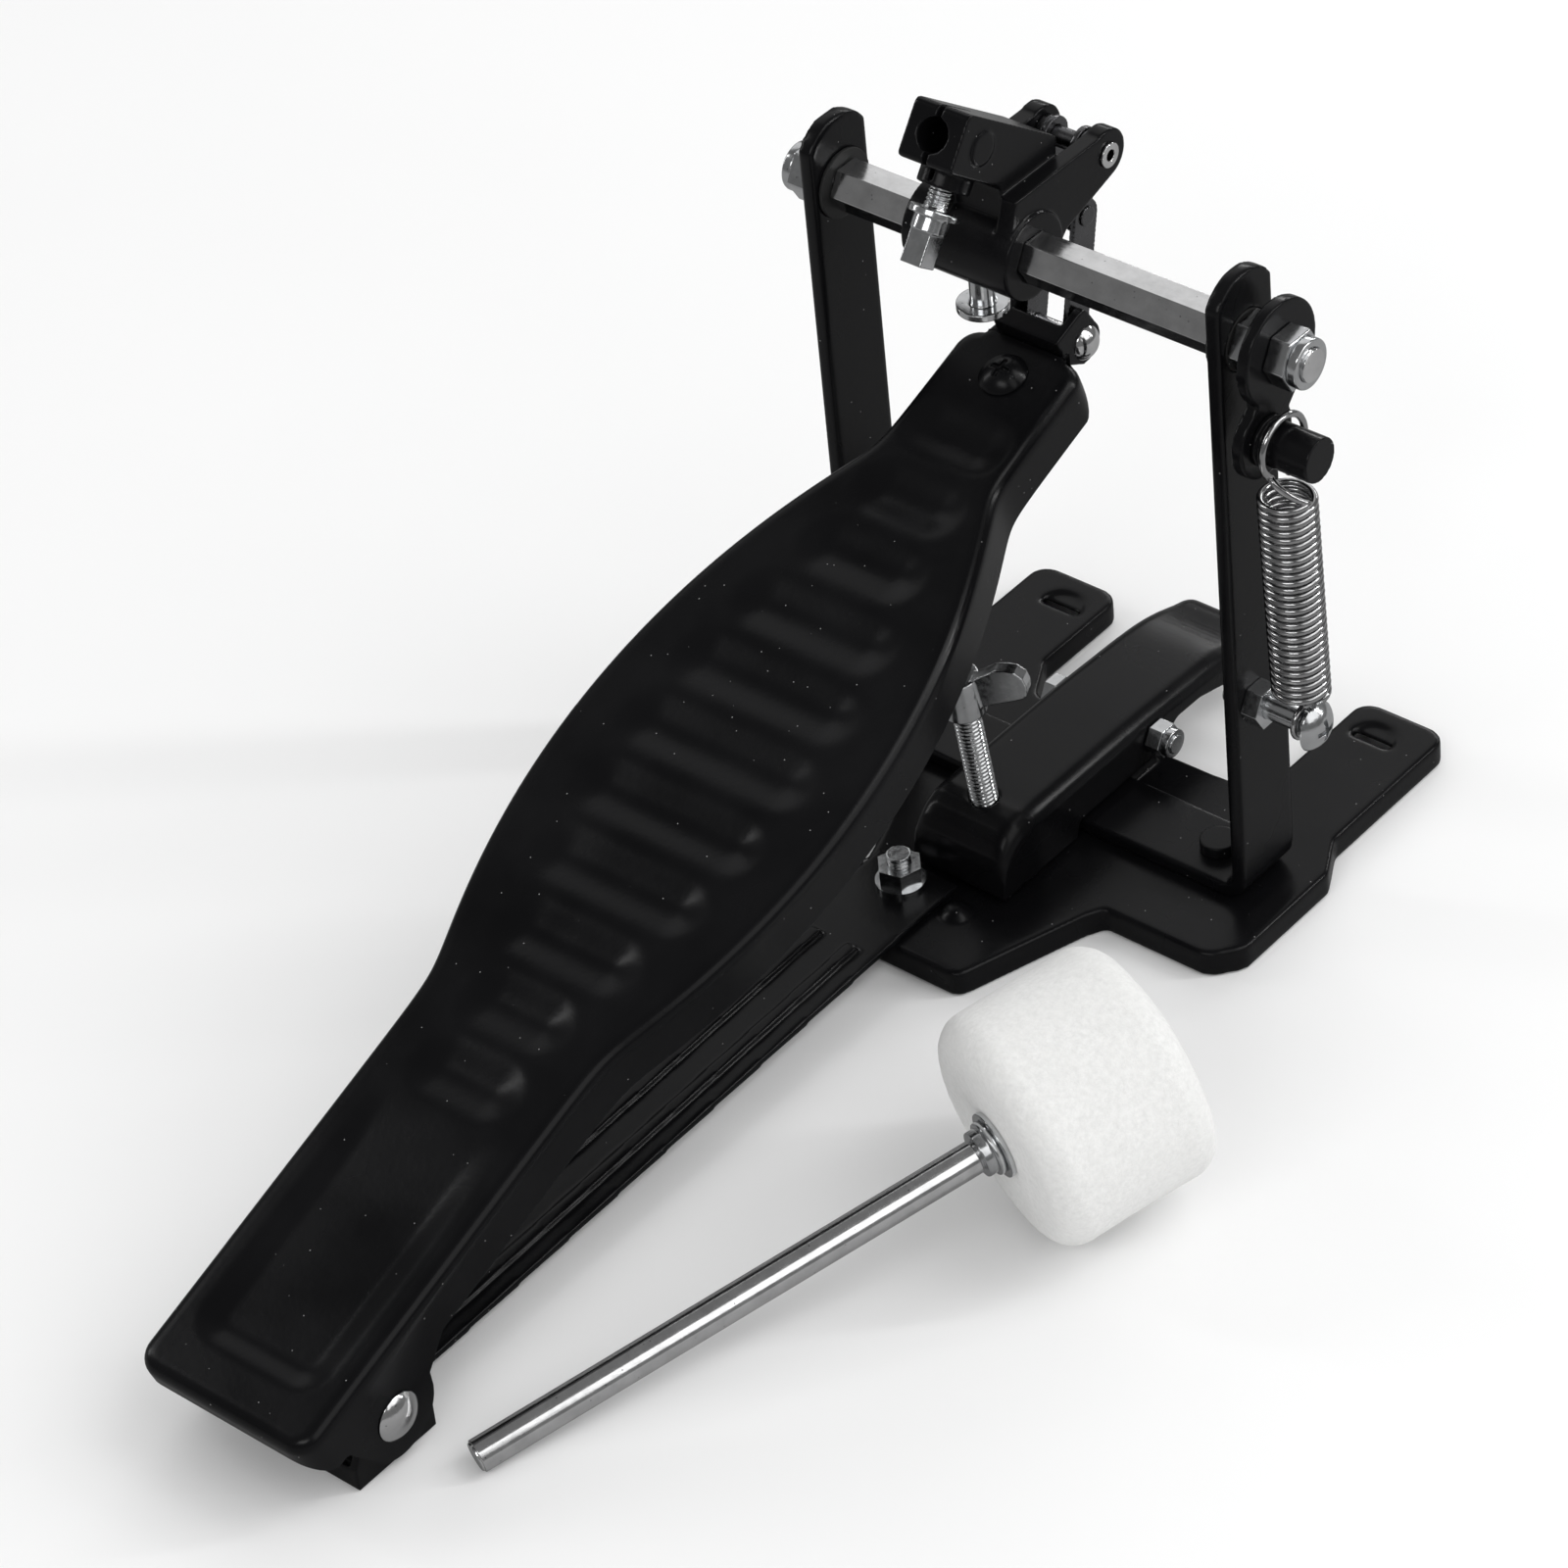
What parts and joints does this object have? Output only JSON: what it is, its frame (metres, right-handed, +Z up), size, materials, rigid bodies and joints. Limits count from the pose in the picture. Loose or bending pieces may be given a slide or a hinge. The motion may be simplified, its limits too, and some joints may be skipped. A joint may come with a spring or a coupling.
{
  "type": "bass drum pedal",
  "caption": "Chain-drive bass drum pedal: pressed footboard hinged on a floor rail, bent strap frame with a hex axle, return spring, hoop clamp, and a loose felt beater",
  "frame": {"origin": "on the floor, straight below the middle of the axle", "axes": "+Z up, +Y towards the drum, +X to the player's right, along the axle"},
  "size_m": [0.1882, 0.3544, 0.2074],
  "materials": {
    "black_coated_steel": "satin black powder coat on pressed steel, worn at edges",
    "black_coated_casting": "satin black coat on a slightly grainy casting",
    "bright_steel": "polished bright plated steel with fine handling marks",
    "zinc_plated_steel": "bright zinc plated fasteners",
    "spring_steel": "plated spring wire",
    "felt": "dense white pressed felt with short fibres",
    "bush": "dark moulded bush"
  },
  "bodies": {
    "stand": {"base_plate": "black_coated_steel", "post_frame": "black_coated_steel", "frame_rivets": "black_coated_steel", "bearing_bushes": "bush", "floor_rail": "black_coated_steel", "rail_bolt": "zinc_plated_steel", "rail_nut": "zinc_plated_steel", "heel_bracket": "black_coated_steel", "bracket_rivets": "black_coated_steel", "heel_pin": "bright_steel", "jaw_pivot_bolt": "zinc_plated_steel", "jaw_pivot_nut": "zinc_plated_steel", "spring_screw": "zinc_plated_steel", "spring_screw_nut": "zinc_plated_steel"},
    "board": {"footboard": "black_coated_steel", "toe_clevis": "black_coated_steel", "toe_screw": "black_coated_steel", "toe_nut": "zinc_plated_steel", "clevis_pin": "bright_steel", "clevis_nut": "zinc_plated_steel"},
    "rotor": {"axle": "bright_steel", "hub": "black_coated_casting", "hub_set_screw": "zinc_plated_steel", "fork_pin": "bright_steel", "fork_spacers": "zinc_plated_steel", "axle_collar": "zinc_plated_steel", "spring_lever": "black_coated_steel", "spring_post": "black_coated_steel", "axle_nuts": "zinc_plated_steel", "axle_washer": "zinc_plated_steel"},
    "clamp_bolt": {"beater_clamp_bolt": "zinc_plated_steel"},
    "chain_upper": {"upper_link": "black_coated_steel"},
    "chain_lower": {"lower_link": "black_coated_steel", "link_pin": "bright_steel"},
    "spring": {"return_spring": "spring_steel"},
    "spring_hook": {"spring_top_hook": "spring_steel"},
    "jaw": {"hoop_jaw": "black_coated_steel"},
    "wing": {"wing_bolt": "zinc_plated_steel"},
    "beater": {"beater_shaft": "bright_steel", "beater_head": "felt", "beater_collar": "zinc_plated_steel", "beater_washers": "zinc_plated_steel", "beater_nut": "zinc_plated_steel"}
  },
  "joints": [
    {"name": "footboard_hinge", "type": "hinge", "parent": "stand", "child": "board", "pos_m": [-0.012, -0.2565, 0.0143], "axis": [1, 0, 0], "range_deg": [-5, 0]},
    {"name": "axle_turn", "type": "hinge", "parent": "stand", "child": "rotor", "pos_m": [0, 0, 0.165], "axis": [1, 0, 0], "range_deg": [-43, 0.5], "stiffness_Nm_per_rad": 0.35, "springref_deg": 51.57},
    {"name": "beater_clamp_thread", "type": "slide", "parent": "rotor", "child": "clamp_bolt", "axis": [0, -0.6, -0.8], "range_m": [0, 0.006]},
    {"name": "fork_pivot", "type": "hinge", "parent": "rotor", "child": "chain_upper", "pos_m": [-0.012, 0.0296, 0.17577], "axis": [1, 0, 0], "range_deg": [-0.5, 53.5]},
    {"name": "clevis_pivot", "type": "hinge", "parent": "board", "child": "chain_lower", "pos_m": [-0.012, 0.0199, 0.12822], "axis": [1, 0, 0], "range_deg": [-0.5, 15.5]},
    {"name": "spring_swing", "type": "hinge", "parent": "stand", "child": "spring", "pos_m": [0.074, -0.003, 0.065], "axis": [1, 0, 0], "range_deg": [-0.5, 8]},
    {"name": "spring_stretch", "type": "slide", "parent": "spring", "child": "spring_hook", "axis": [0, -0.0434, 0.9991], "range_m": [-0.0005, 0.0105], "deforming": ["return_spring"]},
    {"name": "jaw_pivot", "type": "hinge", "parent": "stand", "child": "jaw", "pos_m": [-0.001, 0.0175, 0.0195], "axis": [1, 0, 0], "range_deg": [-6, 0]},
    {"name": "wing_bolt_thread", "type": "slide", "parent": "jaw", "child": "wing", "axis": [0, 0.1392, -0.9903], "range_m": [-0.0002, 0.005]},
    {"name": "beater_lift", "type": "slide", "parent": "stand", "child": "beater", "axis": [0, 0, 1], "range_m": [0, 0.15]}
  ],
  "couplings": [
    {"joint": "axle_turn", "follows": "footboard_hinge", "ratio": 8.5624},
    {"joint": "fork_pivot", "follows": "footboard_hinge", "ratio": -10.524},
    {"joint": "clevis_pivot", "follows": "footboard_hinge", "ratio": -2.9613},
    {"joint": "spring_swing", "follows": "footboard_hinge", "ratio": -1.5099},
    {"joint": "spring_stretch", "follows": "footboard_hinge", "m_per_rad": -0.1143},
    {"joint": "wing_bolt_thread", "follows": "jaw_pivot", "m_per_rad": -0.0445}
  ]
}
